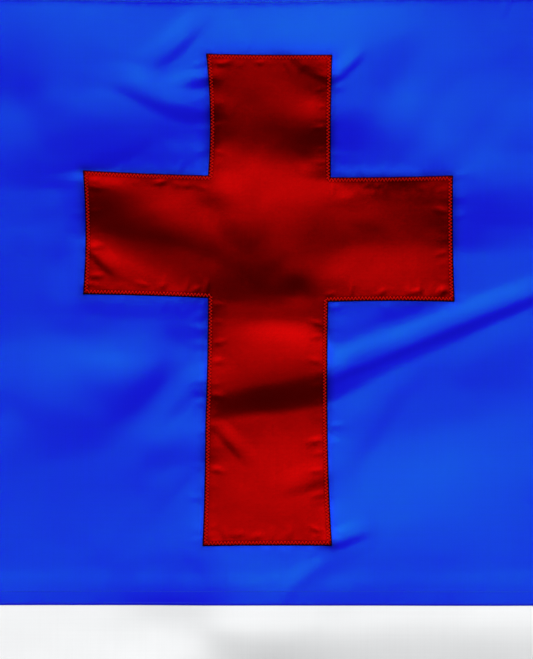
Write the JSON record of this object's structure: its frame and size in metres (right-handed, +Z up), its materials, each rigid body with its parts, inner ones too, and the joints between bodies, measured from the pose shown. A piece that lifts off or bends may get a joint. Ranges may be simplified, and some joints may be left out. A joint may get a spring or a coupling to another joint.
{
  "type": "christian flag",
  "caption": "Sewn rectangular flag laid out face up: white field, blue upper canton by the hoist, red cross applied to both faces, canvas heading with brass grommets.",
  "frame": {"origin": "middle of the flag's rectangle, at the surface it lies on", "axes": "+X from the hoist to the fly, +Y from the foot to the head of the flag, +Z up off the surface, out of the flag's face"},
  "size_m": [1.524, 0.914, 0.0178],
  "materials": {
    "blue_nylon": "royal blue woven nylon with a satin sheen",
    "red_nylon": "deep red woven nylon with a satin sheen, its turned edge sewn down with red zigzag stitches",
    "white_nylon": "white woven nylon with a satin sheen",
    "canvas": "off-white cotton duck, matt",
    "brass": "rolled brass, lightly polished"
  },
  "bodies": {
    "root": {"canton": "blue_nylon", "cross_front": "red_nylon", "cross_back": "red_nylon", "field_upper": "white_nylon", "field_lower": "white_nylon", "heading": "canvas", "grommet_upper": "brass", "grommet_lower": "brass"}
  },
  "joints": []
}
